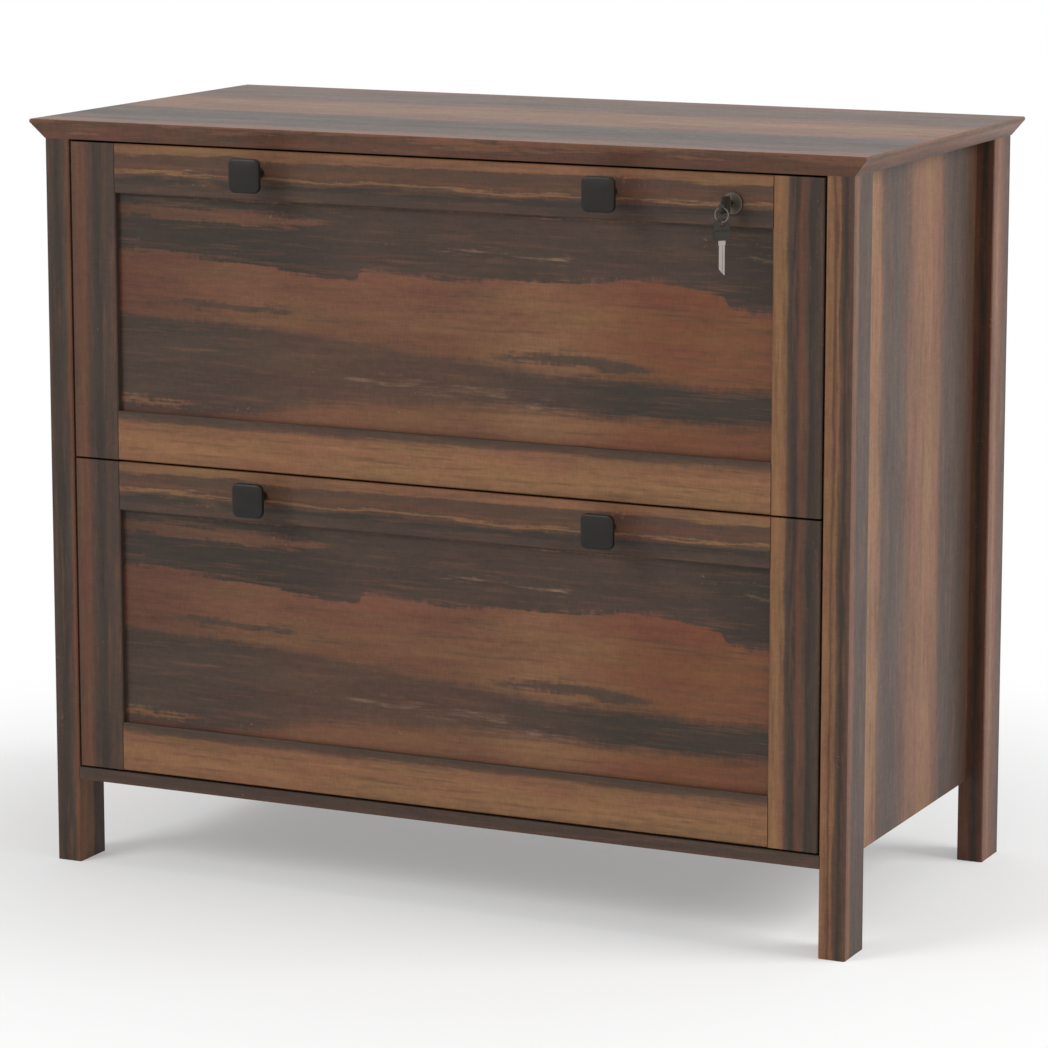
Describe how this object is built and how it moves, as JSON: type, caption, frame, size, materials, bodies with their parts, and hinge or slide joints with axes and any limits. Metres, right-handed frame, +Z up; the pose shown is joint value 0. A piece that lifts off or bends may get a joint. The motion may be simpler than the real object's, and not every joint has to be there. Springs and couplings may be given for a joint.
{
  "type": "lateral file cabinet",
  "caption": "Low wide filing cabinet in dark weathered-wood laminate on square post legs, with framed drawer fronts on telescopic slides, square black knobs and a keyed drawer lock",
  "frame": {"origin": "on the floor, at the middle of the whole object's footprint", "axes": "+X to the viewer's right along the drawer fronts, +Y from the fronts to the back, +Z up"},
  "size_m": [0.828, 0.441, 0.708],
  "materials": {
    "weathered_laminate": "printed weathered-wood laminate, satin",
    "drawer_board": "brown paper-faced board, matt",
    "back_board": "printed hardboard, matt",
    "zinc_steel": "bright zinc plate",
    "bearing_steel": "ground steel, oiled",
    "black_knob": "matt black powder coat",
    "lock_metal": "black nickel, satin",
    "key_nickel": "nickel plate",
    "key_plastic": "moulded black plastic, fine texture"
  },
  "bodies": {
    "cabinet": {"top_panel": "weathered_laminate", "front_post_left": "weathered_laminate", "front_post_right": "weathered_laminate", "rear_post_left": "weathered_laminate", "rear_post_right": "weathered_laminate", "side_panel_left": "weathered_laminate", "side_panel_right": "weathered_laminate", "bottom_panel": "weathered_laminate", "back_panel": "back_board", "lock_strike": "zinc_steel", "strike_screws": "zinc_steel", "upper_slide_outers": "zinc_steel", "lower_slide_outers": "zinc_steel"},
    "upper_drawer": {"upper_stile_right": "weathered_laminate", "upper_stile_left": "weathered_laminate", "upper_top_rail": "weathered_laminate", "upper_bottom_rail": "weathered_laminate", "upper_front_panel": "weathered_laminate", "upper_box_side_right": "drawer_board", "upper_box_side_left": "drawer_board", "upper_box_back": "drawer_board", "upper_box_base": "drawer_board", "upper_folder_bars": "zinc_steel", "upper_knob_left": "black_knob", "upper_knob_right": "black_knob", "upper_knob_screws": "zinc_steel", "upper_slide_inners": "zinc_steel", "lock_body": "lock_metal", "lock_nut": "zinc_steel"},
    "upper_slide_middles": {"upper_slide_middles": "zinc_steel"},
    "upper_outer_cages": {"upper_outer_ball_cages": "bearing_steel"},
    "upper_inner_cages": {"upper_inner_ball_cages": "bearing_steel"},
    "lower_drawer": {"lower_stile_right": "weathered_laminate", "lower_stile_left": "weathered_laminate", "lower_top_rail": "weathered_laminate", "lower_bottom_rail": "weathered_laminate", "lower_front_panel": "weathered_laminate", "lower_box_side_right": "drawer_board", "lower_box_side_left": "drawer_board", "lower_box_back": "drawer_board", "lower_box_base": "drawer_board", "lower_folder_bars": "zinc_steel", "lower_knob_left": "black_knob", "lower_knob_right": "black_knob", "lower_knob_screws": "zinc_steel", "lower_slide_inners": "zinc_steel"},
    "lower_slide_middles": {"lower_slide_middles": "zinc_steel"},
    "lower_outer_cages": {"lower_outer_ball_cages": "bearing_steel"},
    "lower_inner_cages": {"lower_inner_ball_cages": "bearing_steel"},
    "lock_plug": {"lock_plug": "lock_metal", "lock_cam": "zinc_steel", "lock_cam_screw": "zinc_steel"},
    "key": {"key_blade": "key_nickel", "key_bow": "key_plastic"},
    "key_ring": {"key_ring": "key_nickel"},
    "spare_key": {"spare_key_blade": "key_nickel", "spare_key_bow": "key_plastic"}
  },
  "joints": [
    {"name": "upper_drawer_slide", "type": "slide", "parent": "cabinet", "child": "upper_drawer", "axis": [0, -1, 0], "range_m": [0, 0.3]},
    {"name": "upper_middle_slide", "type": "slide", "parent": "cabinet", "child": "upper_slide_middles", "axis": [0, -1, 0], "range_m": [0, 0.15]},
    {"name": "upper_outer_cage_roll", "type": "slide", "parent": "cabinet", "child": "upper_outer_cages", "axis": [0, -1, 0], "range_m": [0, 0.075]},
    {"name": "upper_inner_cage_roll", "type": "slide", "parent": "cabinet", "child": "upper_inner_cages", "axis": [0, -1, 0], "range_m": [0, 0.225]},
    {"name": "lower_drawer_slide", "type": "slide", "parent": "cabinet", "child": "lower_drawer", "axis": [0, -1, 0], "range_m": [0, 0.3]},
    {"name": "lower_middle_slide", "type": "slide", "parent": "cabinet", "child": "lower_slide_middles", "axis": [0, -1, 0], "range_m": [0, 0.15]},
    {"name": "lower_outer_cage_roll", "type": "slide", "parent": "cabinet", "child": "lower_outer_cages", "axis": [0, -1, 0], "range_m": [0, 0.075]},
    {"name": "lower_inner_cage_roll", "type": "slide", "parent": "cabinet", "child": "lower_inner_cages", "axis": [0, -1, 0], "range_m": [0, 0.225]},
    {"name": "key_turn", "type": "hinge", "parent": "upper_drawer", "child": "lock_plug", "pos_m": [0.289, -0.1815, 0.6625], "axis": [0, 1, 0], "range_deg": [0, 90]},
    {"name": "key_pull", "type": "slide", "parent": "lock_plug", "child": "key", "axis": [0, -1, 0], "range_m": [0, 0.035]},
    {"name": "ring_swing", "type": "hinge", "parent": "key", "child": "key_ring", "pos_m": [0.289, -0.213, 0.65749], "axis": [0, 1, 0], "range_deg": [-100, 10]},
    {"name": "spare_key_swing", "type": "hinge", "parent": "key_ring", "child": "spare_key", "pos_m": [0.289, -0.213, 0.65464], "axis": [0, 1, 0], "range_deg": [-40, 40]}
  ],
  "couplings": [
    {"joint": "upper_middle_slide", "follows": "upper_drawer_slide", "ratio": 0.5},
    {"joint": "upper_outer_cage_roll", "follows": "upper_drawer_slide", "ratio": 0.25},
    {"joint": "upper_inner_cage_roll", "follows": "upper_drawer_slide", "ratio": 0.75},
    {"joint": "lower_middle_slide", "follows": "lower_drawer_slide", "ratio": 0.5},
    {"joint": "lower_outer_cage_roll", "follows": "lower_drawer_slide", "ratio": 0.25},
    {"joint": "lower_inner_cage_roll", "follows": "lower_drawer_slide", "ratio": 0.75},
    {"joint": "ring_swing", "follows": "key_turn", "ratio": -1}
  ]
}
